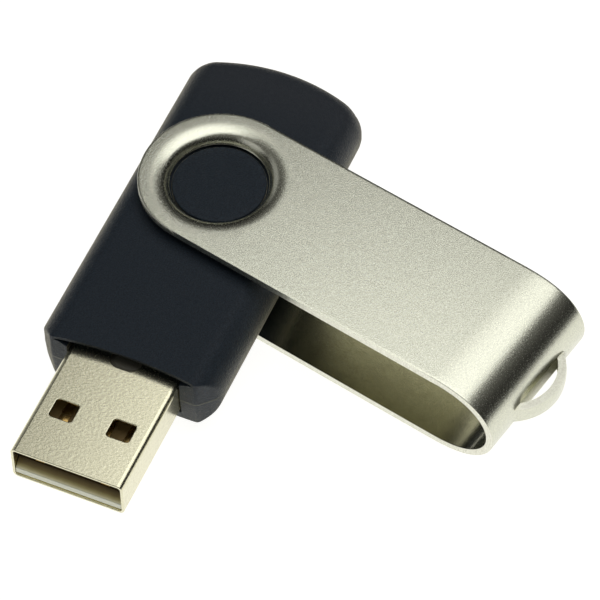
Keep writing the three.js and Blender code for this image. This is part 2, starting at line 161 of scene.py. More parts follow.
CONTACT_FOOT = -0.38 * MM
CONTACT_FOOT_LONG = 1.9 * MM
POWER_CONTACT_AT = 3.5 * MM
DATA_CONTACT_AT = 1.0 * MM
POWER_CONTACT_INSET = 1.2 * MM
DATA_CONTACT_INSET = 2.2 * MM
CONTACT_AT = {
    "contact_vbus": POWER_CONTACT_AT,
    "contact_data_minus": DATA_CONTACT_AT,
    "contact_data_plus": -DATA_CONTACT_AT,
    "contact_ground": -POWER_CONTACT_AT,
}

# ---- the stage and the camera ----
FLOOR_RADIUS = 0.9
FLOOR_GAP = 0.02 * MM
LIGHT_TARGET = Vector((0.008, 0.012, MIDDLE))
VIEW_AZIMUTH, VIEW_ELEVATION, VIEW_ROLL = 114.47, 53.49, -1.34  # degrees
VIEW_TARGET = Vector((7.56 * MM, 12.11 * MM, MIDDLE))
VIEW_DISTANCE = 377.85 * MM
LENS, SENSOR_WIDTH = 226.28, 36


# ---------------------------------------------------------------- materials
class Nodes:
    """Short names for building one material's node tree."""

    def __init__(self, name):
        self.material = bpy.data.materials.new(name)
        self.material.use_nodes = True
        self.tree = self.material.node_tree
        self.shader = self.tree.nodes["Principled BSDF"]
        self.place = self.add("ShaderNodeTexCoord").outputs["Object"]

    def add(self, kind, **settings):
        node = self.tree.nodes.new(kind)
        for key, value in settings.items():
            setattr(node, key, value)
        return node

    def link(self, source, target):
        self.tree.links.new(source, target)

    def stretched(self, x, y, z, turn=0.0):
        mapping = self.add("ShaderNodeMapping")
        mapping.inputs["Scale"].default_value = (x, y, z)
        mapping.inputs["Rotation"].default_value = (0, 0, turn)
        self.link(self.place, mapping.inputs["Vector"])
        return mapping.outputs["Vector"]

    def noise(self, scale, detail=2.0, roughness=0.5, vector=None):
        node = self.add("ShaderNodeTexNoise")
        node.inputs["Scale"].default_value = scale
        node.inputs["Detail"].default_value = detail
        node.inputs["Roughness"].default_value = roughness
        self.link(vector or self.place, node.inputs["Vector"])
        return node.outputs["Fac"]

    def ranged(self, value, low, high, new_low, new_high):
        node = self.add("ShaderNodeMapRange")
        ends = {"From Min": low, "From Max": high, "To Min": new_low, "To Max": new_high}
        for socket, number in ends.items():
            node.inputs[socket].default_value = number
        self.link(value, node.inputs["Value"])
        return node.outputs["Result"]

    def spread(self, noise, low, high):
        """A noise's usual range, stretched to run from low to high."""
        return self.ranged(noise, 0.3, 0.7, low, high)

    def axis(self, letter):
        node = self.add("ShaderNodeSeparateXYZ")
        self.link(self.place, node.inputs[0])
        return node.outputs[letter]

    def maths(self, operation, value, *others):
        """One sum on a value. Each other operand is a number or another node's output."""
        node = self.add("ShaderNodeMath", operation=operation)
        self.link(value, node.inputs[0])
        for i, other in enumerate(others, 1):
            if isinstance(other, bpy.types.NodeSocket):
                self.link(other, node.inputs[i])
            else:
                node.inputs[i].default_value = other
        return node.outputs[0]

    def mixed(self, factor, low, high):
        """Blends two colours. The low one may be another node's output."""
        node = self.add("ShaderNodeMix", data_type="RGBA")
        if isinstance(low, bpy.types.NodeSocket):
            self.link(low, node.inputs["A"])
        else:
            node.inputs["A"].default_value = (*low, 1)
        node.inputs["B"].default_value = (*high, 1)
        self.link(factor, node.inputs["Factor"])
        return node.outputs["Result"]

    def bumps(self, *layers):
        """Each layer is (height, strength, distance in metres)."""
        normal = None
        for height, strength, distance in layers:
            node = self.add("ShaderNodeBump")
            node.inputs["Strength"].default_value = strength
            node.inputs["Distance"].default_value = distance
            self.link(height, node.inputs["Height"])
            if normal:
                self.link(normal, node.inputs["Normal"])
            normal = node.outputs["Normal"]
        self.link(normal, self.shader.inputs["Normal"])

    def colour(self, value):
        self.link(value, self.shader.inputs["Base Color"])

    def rough(self, value):
        self.link(value, self.shader.inputs["Roughness"])

    def set(self, **sockets):
        for name, value in sockets.items():
            self.shader.inputs[name.replace("_", " ")].default_value = value


def fill_ramp(ramp, stops):
    """Sets a colour ramp's stops, given from low to high as (position, colour)."""
    elements = ramp.color_ramp.elements
    for element, (place_at, colour) in zip(elements, (stops[0], stops[-1])):
        element.position = place_at
        element.color = (*colour, 1)
    for place_at, colour in stops[1:-1]:
        elements.new(place_at).color = (*colour, 1)


def soft_touch():
    """Black rubbery paint: fine specks, a rear painted paler as painted sheen where the light glances off it,
    and a pale line where the shells meet.
    """
    n = Nodes("soft_touch_plastic")
    grain = n.noise(6500, 2)
    specks = n.ranged(n.noise(7500, 2, 0.6), 0.4, 0.6, 0, 1)
    base = n.mixed(specks, (0.0004, 0.0050, 0.0120), (0.0100, 0.0220, 0.0360))
    # Painted sheen: the rear is lightened towards a pale blue-grey, standing in for the brighter reflection
    # it shows there.
    rear_painted_sheen = n.ranged(n.axis("X"), -5 * MM, -14 * MM, 0, 0.8)
    base = n.mixed(rear_painted_sheen, base, (0.024, 0.029, 0.037))
    from_seam = n.maths("ABSOLUTE", n.maths("SUBTRACT", n.axis("Z"), MIDDLE))
    line = n.ranged(from_seam, 0.04 * MM, 0.13 * MM, 0.75, 0)
    n.colour(n.mixed(line, base, (0.19, 0.195, 0.155)))
    n.rough(n.spread(n.noise(2500, 3), 0.50, 0.62))
    n.bumps((grain, 0.9, 0.00008), (n.noise(2400, 3), 0.3, 0.00006))
    n.set(Specular_IOR_Level=0.36, Sheen_Weight=0.65, Sheen_Roughness=0.3, Sheen_Tint=(1.0, 0.92, 0.66, 1))
    return n.material


def satin_steel():
    n = Nodes("satin_steel")
    blasted = n.noise(8000, 3, 0.65)
    fine = n.noise(13000, 2, 0.6)
    specks = n.ranged(n.noise(7500, 3, 0.7), 0.35, 0.65, 0, 1)
    n.colour(n.mixed(specks, (0.60, 0.605, 0.50), (0.73, 0.735, 0.615)))
    n.rough(n.spread(blasted, 0.20, 0.29))
    n.bumps((blasted, 0.5, 0.000016), (fine, 0.4, 0.000009))
    n.set(Metallic=1.0)
    return n.material


def cut_steel():
    n = Nodes("satin_steel_cut_edge")
    drag = n.noise(1, 3, 0.6, n.stretched(9000, 9000, 2500))
    n.colour(n.mixed(n.spread(drag, 0, 1), (0.62, 0.61, 0.50), (0.90, 0.90, 0.79)))
    n.rough(n.spread(drag, 0.28, 0.42))
    n.bumps((drag, 0.5, 0.00003))
    n.set(Metallic=1.0)
    return n.material


def shaded_inner_steel():
    n = Nodes("satin_steel_inner_painted_shade")
    # Painted shade: the sheet's inner face is the same steel painted darker, for the little light that
    # reaches inside the cover.
    blasted = n.noise(5200, 3, 0.6)
    n.colour(n.mixed(n.spread(n.noise(1200, 3, 0.6), 0, 1), (0.52, 0.51, 0.40), (0.60, 0.59, 0.47)))
    n.rough(n.spread(blasted, 0.14, 0.22))
    n.bumps((blasted, 0.5, 0.000012))
    n.set(Metallic=1.0)
    return n.material


def nickel():
    n = Nodes("nickel_plate")
    rolled = n.noise(1, 2, 0.5, n.stretched(5400, 2700, 3000, 0.1))
    fine = n.noise(9000, 2, 0.5)
    n.colour(n.mixed(n.spread(rolled, 0, 1), (0.69, 0.66, 0.475), (0.78, 0.755, 0.56)))
    n.rough(n.spread(fine, 0.19, 0.28))
    n.bumps((rolled, 0.42, 0.000018), (fine, 0.2, 0.000006))
    n.set(Metallic=1.0)
    return n.material


def nylon():
    """The insulator, its colour mostly painted light: painted shade inside the case and over the lug, painted
    shade tinted brown by a painted reflection of the steel along the tongue, and a painted gradient from that
    shade to cream at its slanted front.
    """
    n = Nodes("white_nylon")
    along = n.ranged(n.axis("X"), PLUG_TIP - PLUG_LENGTH, PLUG_TIP, 0, 1)
    ramp = n.add("ShaderNodeValToRGB")
    n.link(n.maths("MULTIPLY_ADD", n.noise(900, 3), 0.006, along), ramp.inputs["Fac"])
    # Painted shade and reflection along X: dark inside the case, brown under the steel sheet, then a dark
    # band that brightens to cream at the slanted front, with a paler grey at the very tip.
    fill_ramp(ramp, [
        (0.0, (0.12, 0.115, 0.09)),
        (0.42, (0.12, 0.115, 0.09)),
        (0.5, (0.36, 0.25, 0.11)),
        (0.950, (0.07, 0.045, 0.015)),
        (0.972, (0.26, 0.20, 0.08)),
        (0.984, (0.60, 0.53, 0.25)),
        (0.992, (1.0, 0.95, 0.62)),
        (0.999, (0.76, 0.79, 0.70)),
    ])
    n.colour(ramp.outputs["Color"])
    n.rough(n.spread(n.noise(4000, 2), 0.38, 0.5))
    n.bumps((n.noise(6000, 2), 0.15, 0.00001))
    n.set(Specular_IOR_Level=0.3)
    return n.material


def plain(name, low, high, rough, metal=0.0, scale=2500, bump=0.2):
    """A fine-grained material whose colour and roughness drift a little."""
    n = Nodes(name)
    grain = n.noise(scale, 3)
    n.colour(n.mixed(n.spread(grain, 0, 1), low, high))
    n.rough(n.spread(n.noise(scale / 3, 2), rough - 0.06, rough + 0.06))
    n.bumps((grain, bump, 0.00001))
    n.set(Metallic=metal)
    return n.material


def solder_mask():
    n = Nodes("circuit_board")
    lines = n.add("ShaderNodeTexWave", wave_type="BANDS", bands_direction="DIAGONAL")
    lines.inputs["Scale"].default_value = 260
    lines.inputs["Distortion"].default_value = 3.0
    n.link(n.place, lines.inputs["Vector"])
    tracks = n.ranged(lines.outputs["Fac"], 0.45, 0.55, 0, 1)
    n.colour(n.mixed(tracks, (0.008, 0.075, 0.03), (0.014, 0.12, 0.05)))
    n.rough(n.spread(n.noise(800, 2), 0.28, 0.4))
    n.bumps((lines.outputs["Fac"], 0.2, 0.00002))
    return n.material


# ---------------------------------------------------------------- mesh helpers
def new_piece(name, mesh, body, node, materials):
    """A finished piece that stands for one CAD node."""
    piece = bpy.data.objects.new(name, mesh)
    bpy.context.scene.collection.objects.link(piece)
    for material in materials:
        mesh.materials.append(material)
    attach(piece, body)
    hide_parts(node)
    return piece


def mesh_from(bm, name, turn=None):
    bmesh.ops.recalc_face_normals(bm, faces=bm.faces)
    if turn is not None:
        bmesh.ops.transform(bm, matrix=turn, verts=bm.verts)
    mesh = bpy.data.meshes.new(name)
    bm.to_mesh(mesh)
    bm.free()
    return mesh


def soften(mesh, angle):
    """Smooth faces, with edges sharper than the angle left crisp."""
    mesh.shade_smooth()
    mesh.set_sharp_from_angle(angle=math.radians(angle))
    return mesh


def with_modifier(mesh, kind, **settings):
    """The mesh after one modifier."""
    holder = bpy.data.objects.new("holder", mesh)
    bpy.context.scene.collection.objects.link(holder)
    modifier = holder.modifiers.new("step", kind)
    for key, value in settings.items():
        setattr(modifier, key, value)
    graph = bpy.context.evaluated_depsgraph_get()
    made = bpy.data.meshes.new_from_object(holder.evaluated_get(graph))
    bpy.data.objects.remove(holder)
    return made


def combined(mesh, other, operation):
    tool = bpy.data.objects.new("tool", other)
    bpy.context.scene.collection.objects.link(tool)
    mesh = with_modifier(mesh, "BOOLEAN", operation=operation, solver="EXACT", object=tool)
    bpy.data.objects.remove(tool)
    return mesh


def minus(mesh, *cutters):
    """The mesh with each cutter mesh taken away."""
    for cutter in cutters:
        mesh = combined(mesh, cutter, "DIFFERENCE")
    return mesh


def plus(mesh, *others):
    """The mesh joined with each other mesh."""
    for other in others:
        mesh = combined(mesh, other, "UNION")
    return mesh


def flat_weighted(mesh):
    """Large faces keep their own direction where they meet a rounded edge."""
    return with_modifier(mesh, "WEIGHTED_NORMAL", keep_sharp=True, weight=80)


def bevelled(mesh, width, segments=3, angle=40):
    return with_modifier(
        mesh, "BEVEL", width=width, segments=segments, limit_method="ANGLE",
        angle_limit=math.radians(angle), use_clamp_overlap=True, harden_normals=False,
    )


def arc_points(cx, cy, rx, ry, start, end, steps):
    """Points of an elliptical arc, angles in degrees."""
    turns = [math.radians(start + (end - start) * i / steps) for i in range(steps + 1)]
    return [(cx + rx * math.cos(a), cy + ry * math.sin(a)) for a in turns]


def rounded_rect(half_x, half_y, radius, steps=6):
    x, y = half_x - radius, half_y - radius
    points = []
    for cx, cy, start in ((x, y, 0), (-x, y, 90), (-x, -y, 180), (x, -y, 270)):
        points += arc_points(cx, cy, radius, radius, start, start + 90, steps)
    return points


def prism(outline, low, high, axis="z"):
    """A closed prism: the outline is (x, y) raised along Z, (y, z) run along X, or (x, z) run along Y."""
    place = {
        "z": lambda p, h: (p[0], p[1], h),
        "x": lambda p, h: (h, p[0], p[1]),
        "y": lambda p, h: (p[0], h, p[1]),
    }[axis]
    bm = bmesh.new()
    ends = [[bm.verts.new(place(p, h)) for p in outline] for h in (low, high)]
    count = len(outline)
    for i in range(count):
        j = (i + 1) % count
        bm.faces.new((ends[0][i], ends[0][j], ends[1][j], ends[1][i]))
    bm.faces.new(ends[0])
    bm.faces.new(ends[1])
    return mesh_from(bm, "prism")


def shifted(mesh, z):
    mesh.transform(Matrix.Translation((0, 0, z)))
    return mesh


# ---------------------------------------------------------------- case
REAR_ARC = (CASE_HALF_WIDTH**2 + REAR_SAG**2) / (2 * REAR_SAG)
REAR_ARC_X = REAR_ARC - CASE_REAR
CORNER_Y = CASE_HALF_WIDTH - REAR_CORNER
CORNER_X = REAR_ARC_X - math.sqrt((REAR_ARC - REAR_CORNER) ** 2 - CORNER_Y**2)


def case_front(y):
    """Where the case ends forwards at a place across: a flat front, 45 degree chamfers and rounded turns."""
    y = abs(y)
    blend = CHAMFER_BLEND * FILLET_REACH
    knee = CASE_FRONT - (CASE_HALF_WIDTH - FRONT_HALF)
    turn = FRONT_FILLET * FILLET_REACH
    if y > CASE_HALF_WIDTH - blend * CHAMFER_SLANT:
        rise = min((y - (CASE_HALF_WIDTH - CHAMFER_BLEND)) / CHAMFER_BLEND, 1)
        return knee - blend + CHAMFER_BLEND * math.sqrt(1 - rise * rise)
    if y > FRONT_HALF + turn * CHAMFER_SLANT:
        return CASE_FRONT - (y - FRONT_HALF)
    if y > FRONT_HALF - turn:
        across = y - (FRONT_HALF - turn)
        return CASE_FRONT - FRONT_FILLET + math.sqrt(FRONT_FILLET**2 - across**2)
    return CASE_FRONT


def case_rear(y):
    """Where the case ends backwards at a place across: a shallow arc with rounded corners."""
    y = abs(y)
    touch = CORNER_Y * REAR_ARC / (REAR_ARC - REAR_CORNER)
    if y > touch:
        return CORNER_X - math.sqrt(max(REAR_CORNER**2 - (y - CORNER_Y) ** 2, 0))
    return REAR_ARC_X - math.sqrt(REAR_ARC**2 - y * y)


def rounded_drop(depth_in, radius):
    """How far a rounded edge lies below the surface at a distance in from the edge."""
    out = max(1 - depth_in / radius, 0)
    return radius * (1 - math.sqrt(max(1 - out * out, 0)))


def crown(x, y):
    """Height of the case's upper surface above its middle plane, at a place in plan."""
    height = CASE_HALF_HEIGHT
    flat = CASE_HALF_WIDTH - SIDE_INSET
    if abs(y) > flat:
        out = min((abs(y) - flat) / SIDE_INSET, 1)
        height += SIDE_DROP * (math.sqrt(1 - out * out) - 1)
    if x < 0:
        from_edge = REAR_ARC - math.hypot(x - REAR_ARC_X, y)
        share = 1
        back, side = max(CORNER_X - x, 0), abs(y) - CORNER_Y
        lean = math.atan2(CORNER_Y, REAR_ARC_X - CORNER_X)
        if side > back * math.tan(lean):
            share = back / max(math.hypot(back, side), 1e-9) / math.cos(lean)
            from_edge = REAR_CORNER - math.hypot(back, side)
        height -= share * rounded_drop(max(from_edge, 0), REAR_EDGE)
    else:
        slant = CHAMFER_SLANT if abs(y) > FRONT_HALF else 1
        height -= rounded_drop(max(case_front(y) - x, 0) * slant, CRISP_EDGE)
    return max(height, SEAM + SEAM_BEVEL + 0.02 * MM)


def case_columns():
    """Places across the case for its mesh lines: even on the flat, closer where it turns."""
    flat = CASE_HALF_WIDTH - SIDE_INSET
    half = [flat * i / 14 for i in range(15)]
    half += [flat + SIDE_INSET * math.sin(math.radians(a)) for a in range(4, 91, 4)]
    turn = FRONT_FILLET * FILLET_REACH
    half += [FRONT_HALF + turn * share for share in (-1, -0.6, -0.2, 0.2, 0.7)]
    half = sorted(half)
    kept = [half[0]]
    for y in half[1:]:
        if y - kept[-1] > 0.004 * MM:
            kept.append(y)
    return [-y for y in reversed(kept[1:])] + kept


def shell_solid(lean):
    """One half of the case, solid, facing up. lean is how far its front leans back at full height."""
    columns = case_columns()
    rear_steps = [0, 0.015, 0.06, 0.13, 0.23, 0.35, 0.5, 0.68, 0.86, 1.07, 1.3, 1.6]
    front_steps = [0.6, 0.24, 0.15, 0.08, 0.03, 0]
    middle = 26
    bm = bmesh.new()
    grid = []
    for y in columns:
        rear, front = case_rear(y), case_front(y)
        low, high = rear + rear_steps[-1] * MM, front - front_steps[0] * MM
        line = [rear + step * MM for step in rear_steps[:-1]]
        line += [low + (high - low) * i / middle for i in range(middle + 1)]
        line += [front - step * MM for step in front_steps[1:]]
        grid.append([(x, y, crown(x, y)) for x in line])

    def leaned(point):
        x, y, z = point
        share = min(max((x - LEAN_START) / (CASE_FRONT - LEAN_START), 0), 1)
        return (x - lean * share * z / CASE_HALF_HEIGHT, y, z)

    verts = [[bm.verts.new(leaned(p)) for p in line] for line in grid]
    for one, two in zip(verts, verts[1:]):
        for i in range(len(one) - 1):
            bm.faces.new((one[i], one[i + 1], two[i + 1], two[i]))
    rim = [*verts[0], *[line[-1] for line in verts[1:-1]]]
    rim += [*reversed(verts[-1]), *[line[0] for line in verts[-2:0:-1]]]
    count = len(rim)
    near_front = CASE_FRONT - 3.4 * MM
    flat_places = []
    for vert in rim:
        back = lean * vert.co.z / CASE_HALF_HEIGHT if vert.co.x > near_front else 0
        flat_places.append(Vector((vert.co.x + back, vert.co.y)))
    walls, lips = [], []
    for i in range(count):
        along = (flat_places[(i + 1) % count] - flat_places[i - 1]).normalized()
        out = Vector((along.y, -along.x))
        if out.dot(flat_places[i] - Vector((3 * MM, 0))) < 0:
            out = -out
        foot = flat_places[i]
        walls.append(bm.verts.new((foot.x, foot.y, SEAM + SEAM_BEVEL)))
        lip = foot - out * SEAM_BEVEL
        lips.append(bm.verts.new((lip.x, lip.y, SEAM)))
    for high, low in ((rim, walls), (walls, lips)):
        for i in range(count):
            j = (i + 1) % count
            bm.faces.new((high[i], high[j], low[j], low[i]))
    bm.faces.new(lips)
    return mesh_from(bm, "shell")


def boss_solid():
    """The pivot boss: a low drum with a softened edge and a faintly crowned face, on the Z axis."""
    top = BOSS_RISE - BOSS_CROWN
    profile = [(BOSS_RADIUS, CASE_HALF_HEIGHT - BOSS_ROOT), (BOSS_RADIUS, top - BOSS_EDGE)]
    for a in range(15, 91, 15):
        turn = math.radians(a)
        inwards, down = 1 - math.cos(turn), 1 - math.sin(turn)
        profile.append((BOSS_RADIUS - BOSS_EDGE * inwards, top - BOSS_EDGE * down))
    for share in (0.8, 0.6, 0.4, 0.2):
        profile.append((BOSS_RADIUS * share, top + BOSS_CROWN * (1 - share**2)))
    steps = 96
    bm = bmesh.new()
    rows = []
    for radius, z in profile:
        turns = [2 * math.pi * i / steps for i in range(steps)]
        rows.append([bm.verts.new((radius * math.cos(a), radius * math.sin(a), z)) for a in turns])
    for low, high in zip(rows, rows[1:]):
        for i in range(steps):
            j = (i + 1) % steps
            bm.faces.new((low[i], low[j], high[j], high[i]))
    bm.faces.new(rows[0])
    bm.faces.new(rows[-1])
    return mesh_from(bm, "boss")


def hollow():
    """The room inside one shell, open at the seam and towards the plug."""
    front = CASE_FRONT - WALL
    half = CASE_HALF_WIDTH - SIDE_WALL
    rear = -(CASE_REAR - REAR_WALL)
    outline = [(front, -half), (front, half), (rear + HOLLOW_CUT_LONG, half), (rear, half - HOLLOW_CUT_WIDE)]
    outline += [(rear, HOLLOW_CUT_WIDE - half), (rear + HOLLOW_CUT_LONG, -half)]
    return prism(outline, -1 * MM, CASE_HALF_HEIGHT - WALL)


def plug_opening():
    """The room the plug comes out through, close round its sides and under a slightly bowed roof."""
    side = PLUG_HALF_WIDTH + OPENING_SIDE_GAP
    floor = -PLUG_HALF_HEIGHT - OPENING_FLOOR_GAP
    across = [1 - i / 8 for i in range(17)]
    roof = [(OPENING_HALF_WIDTH * share, OPENING_ROOF + OPENING_BOW * (1 - share**2)) for share in across]
    outline = [(-side, floor), (side, floor), (side, OPENING_SHOULDER), *roof, (-side, OPENING_SHOULDER)]
    return prism(outline, CASE_FRONT - WALL - 0.4 * MM, CASE_FRONT + 1 * MM, "x")


def roof_relief():
    """The room in front of the roof's shallow arc."""
    half = FRONT_HALF - 0.2 * MM
    radius = (half * half + ROOF_RELIEF * ROOF_RELIEF) / (2 * ROOF_RELIEF)
    centre = CASE_FRONT - ROOF_RELIEF + radius
    spread = math.degrees(math.asin(half / radius))
    outline = arc_points(centre, 0, radius, radius, 180 - spread, 180 + spread, 48)
    front = CASE_FRONT + 0.5 * MM
    return prism([*outline, (front, -half), (front, half)], RELIEF_FLOOR, 6 * MM)


def make_shells(material):
    upper = plus(shell_solid(0), boss_solid())
    upper = minus(upper, hollow(), plug_opening(), roof_relief())
    lower = plus(shell_solid(FRONT_DRAFT), boss_solid())
    lower = minus(lower, hollow())
    lower.transform(Matrix.Scale(-1, 4, (0, 0, 1)))
    lower.flip_normals()
    lower = minus(lower, plug_opening())
    for mesh, node in ((upper, "top_shell"), (lower, "bottom_shell")):
        mesh = flat_weighted(soften(shifted(mesh, MIDDLE), 24))
        new_piece(node + "_moulding", mesh, "case", node, [material])


# ---------------------------------------------------------------- cover
def edge_roll(gap):
    """How far the sheet's outer face lies low at a distance in from its stamped edge."""
    return ROLL_DROP * max(1 - gap / ROLL_WIDTH, 0) ** 2


def across_places():
    """Where the mesh lines run across the cover: on the loop's ends too, and closer at the cover's edges."""
    inner = [-LOOP_HALF_WIDTH + 2 * LOOP_HALF_WIDTH * i / LOOP_COLUMNS for i in range(LOOP_COLUMNS + 1)]
    start = COVER_HALF_WIDTH - ROLL_WIDTH
    edge = [LOOP_HALF_WIDTH + (start - LOOP_HALF_WIDTH) * i / 5 for i in range(5)]
    edge += [start + ROLL_WIDTH * i / ROLL_STEPS for i in range(ROLL_STEPS + 1)]
    return [-b for b in reversed(edge)] + inner[1:-1] + edge


def bezier(curve, t):
    """Place and slope on a cubic Bezier curve, at t from 0 to 1."""
    weights = ((1 - t) ** 3, 3 * t * (1 - t) ** 2, 3 * t * t * (1 - t), t**3)
    slopes = (-3 * (1 - t) ** 2, 3 * (1 - t) * (1 - 3 * t), 3 * t * (2 - 3 * t), 3 * t * t)
    place = [sum(w * p[i] for w, p in zip(weights, curve)) for i in (0, 1)]
    slope = [sum(w * p[i] for w, p in zip(slopes, curve)) for i in (0, 1)]
    return place, slope


def dish_profile():
    """Outside and inside of the sheet from the hole out to the rim of the dish, as (radius, height) pairs."""
    low, high = LIP_HEIGHT, COVER_HALF_HEIGHT
    foot = (HOLE_RADIUS + LIP_PULL_OUT, low + LIP_PULL_UP)
    curve = ((HOLE_RADIUS, low), foot, (SHOULDER_RADIUS, high), (DISH_RADIUS, high))
    rows = []
    for i in range(DISH_STEPS + 1):
        t = i / DISH_STEPS
        (r, z), (dr, dz) = bezier(curve, t)
        size = math.hypot(dr, dz)
        thick = COVER_SHEET * (1 - LIP_THINNING * (1 - t))
        rows.append(((r, z), (r + thick * dz / size, z - thick * dr / size)))
    return rows


def bend_turns():
    """Angles down the bend, from its start on the upper arm to its end on the lower arm."""
    slit = math.degrees(math.asin(LOOP_HALF_HEIGHT / COVER_HALF_HEIGHT))
    upper = [90 + (slit - 90) * i / BEND_STEPS for i in range(BEND_STEPS + 1)]
    return upper + [slit / 2, 0, -slit / 2] + [-a for a in reversed(upper)], slit


def may_ease(point):
    """False in the dish, and along the slit and its strap, whose edges stay as they are cut."""
    past_start = point.x > COVER_REACH - BEND_LONG and abs(point.z) < LOOP_HALF_HEIGHT * 1.1
    at_slit = past_start and abs(point.y) < LOOP_HALF_WIDTH + MERGE_REACH
    return point.xy.length > DISH_RADIUS and not at_slit


class Sheet:
    """A sheet mesh built as pairs of outer and inner points, then closed along every free edge."""

    def __init__(self):
        self.bm = bmesh.new()
        self.partner = {}
        self.shared = {}

    def point(self, outer, inner, key=None):
        if key is not None and key in self.shared:
            return self.shared[key]
        vert = self.bm.verts.new(outer)
        self.partner[vert] = inner
        if key is not None:
            self.shared[key] = vert
        return vert

    def face(self, *verts):
        if len(set(verts)) > 2:
            self.bm.faces.new(verts)

    def closed(self):
        """Adds the cut edges (second material) and the inner side (third), and eases their corners."""
        faces = list(self.bm.faces)
        free = [(e.verts[0], e.verts[1]) for e in self.bm.edges if len(e.link_faces) == 1]
        twin = {v: self.bm.verts.new(p) for v, p in self.partner.items()}
        for face in faces:
            inside = self.bm.faces.new([twin[v] for v in reversed(face.verts)])
            inside.material_index = 2
        for a, b in free:
            rim = self.bm.faces.new((a, b, twin[b], twin[a]))
            rim.material_index = 1
        rims = {frozenset(pair) for pair in free}
        rims |= {frozenset((twin[a], twin[b])) for a, b in free}
        edges = [
            edge for edge in self.bm.edges
            if frozenset(edge.verts) in rims and all(may_ease(v.co) for v in edge.verts)
        ]
        bmesh.ops.bevel(
            self.bm, geom=edges, offset=EDGE_EASE, offset_type="OFFSET", segments=2, profile=0.5,
            affect="EDGES", clamp_overlap=True, material=-1,
        )
        bmesh.ops.remove_doubles(self.bm, verts=self.bm.verts, dist=MERGE_REACH)
        return self.bm


def add_cover_end(sheet, side, places):
    """The round end of one arm, with its dished hole. side is +1 for the upper arm and -1 for the lower."""
    w = COVER_HALF_WIDTH
    side_steps = 14
    border = [(w, b) for b in places]
    border += [(w * (1 - i / side_steps), w) for i in range(1, side_steps + 1)]
    border += arc_points(0, 0, w, w, 90, 270, 72)[1:]
    border += [(w * i / side_steps, -w) for i in range(1, side_steps)]
    high = side * COVER_HALF_HEIGHT
    deep = side * (COVER_HALF_HEIGHT - COVER_SHEET)
    spokes = []
    for a, b in border:
        turn, far = math.atan2(b, a), math.hypot(a, b)
        cos, sin = math.cos(turn), math.sin(turn)
        spoke = []
        for (r, z), (ri, zi) in dish_profile():
            spoke.append(sheet.point((r * cos, r * sin, side * z), (ri * cos, ri * sin, side * zi)))
        # Where the arm goes on, only the corners are rolled, so the mesh lines spread out between them.
        at_start = a == w
        reach = far - DISH_RADIUS
        rolled = not at_start or abs(b) >= w - ROLL_WIDTH * 0.99
        slant = abs(sin) if a > 0 else 1
        span = ROLL_WIDTH / slant if rolled else reach * 0.65
        radii = [DISH_RADIUS + reach * 0.25]
        radii += [far - span * i / ROLL_STEPS for i in range(ROLL_STEPS, 0, -1)]
        for r in (*radii, far):
            x, y = r * cos, r * sin
            gap = w - abs(y) if x > 0 else w - r
            z = high - side * edge_roll(gap)
            key = (side, "start", round(b / MM, 4)) if at_start and r == far else None
            spoke.append(sheet.point((x, y, z), (x, y, deep), key))
        spokes.append(spoke)
    for one, two in zip(spokes, spokes[1:] + spokes[:1]):
        for i in range(len(one) - 1):
            sheet.face(one[i], one[i + 1], two[i + 1], two[i])


def loop_bulge(b):
    """The loop strap's outside at a place across: how far it stands out, and its outward direction."""
    rise = LOOP_REACH - COVER_REACH
    radius = (LOOP_HALF_WIDTH**2 + rise**2) / (2 * rise)
    along = math.sqrt(radius**2 - b * b)
    return along - (radius - rise), (along / radius, b / radius)


def add_cover_strip(sheet, places):
    """Both arms' straight stretches, the bend and the loop's strap."""
    turns, slit = bend_turns()
    centre = COVER_REACH - BEND_LONG
    start = COVER_HALF_WIDTH
    high = COVER_HALF_HEIGHT
    deep = COVER_HALF_HEIGHT - COVER_SHEET

    def arm_row(i, side):
        """One line across an arm, as its tag, side, outer and inner places, and no turn."""
        a = start + (centre - start) * i / ARM_STEPS
        return ("start" if i == 0 else f"arm{i}", side, (a, side * high), (a, side * deep), None)

    rows = [arm_row(i, 1) for i in range(ARM_STEPS + 1)]
    for turn in turns[1:-1]:
        c, s = math.cos(math.radians(turn)) ** (2 / BEND_POWER), math.sin(math.radians(turn))
        outer = (centre + BEND_LONG * c, high * s)
        inner = (centre + (BEND_LONG - COVER_SHEET) * c, deep * s)
        rows.append((f"t{turn:.4f}", 0, outer, inner, turn))
    rows += [arm_row(i, -1) for i in range(ARM_STEPS, -1, -1)]
    grid = []
    for tag, side, outer, inner, turn in rows:
        line = []
        for b in places:
            key = (side, tag, round(b / MM, 4))
            share = edge_roll(COVER_HALF_WIDTH - abs(b)) / COVER_SHEET
            a = outer[0] + (inner[0] - outer[0]) * share
            z = outer[1] + (inner[1] - outer[1]) * share
            line.append(sheet.point((a, b, z), (inner[0], b, inner[1]), key))
        grid.append(line)
    level = [turn is not None and abs(turn) <= slit + 1e-6 for *_, turn in rows]
    for i in range(len(rows) - 1):
        in_slit = level[i] and level[i + 1]
        for j in range(len(places) - 1):
            middle = (places[j] + places[j + 1]) / 2
            if in_slit and abs(middle) < LOOP_HALF_WIDTH:
                continue
            sheet.face(grid[i][j], grid[i][j + 1], grid[i + 1][j + 1], grid[i + 1][j])
    strap_rows = [i for i, inside in enumerate(level) if inside]
    columns = [j for j, b in enumerate(places) if abs(b) <= LOOP_HALF_WIDTH + 1e-9]
    strap = []
    for i in strap_rows:
        outer = rows[i][2]
        line = []
        for j in columns:
            b = places[j]
            if j in (columns[0], columns[-1]):
                line.append(grid[i][j])
                continue
            out, (na, nb) = loop_bulge(b)
            a = outer[0] + out
            inside = (a - COVER_SHEET * na, b - COVER_SHEET * nb, outer[1])
            line.append(sheet.point((a, b, outer[1]), inside))
        strap.append(line)
    for one, two in zip(strap, strap[1:]):
        for j in range(len(columns) - 1):
            sheet.face(one[j], one[j + 1], two[j + 1], two[j])


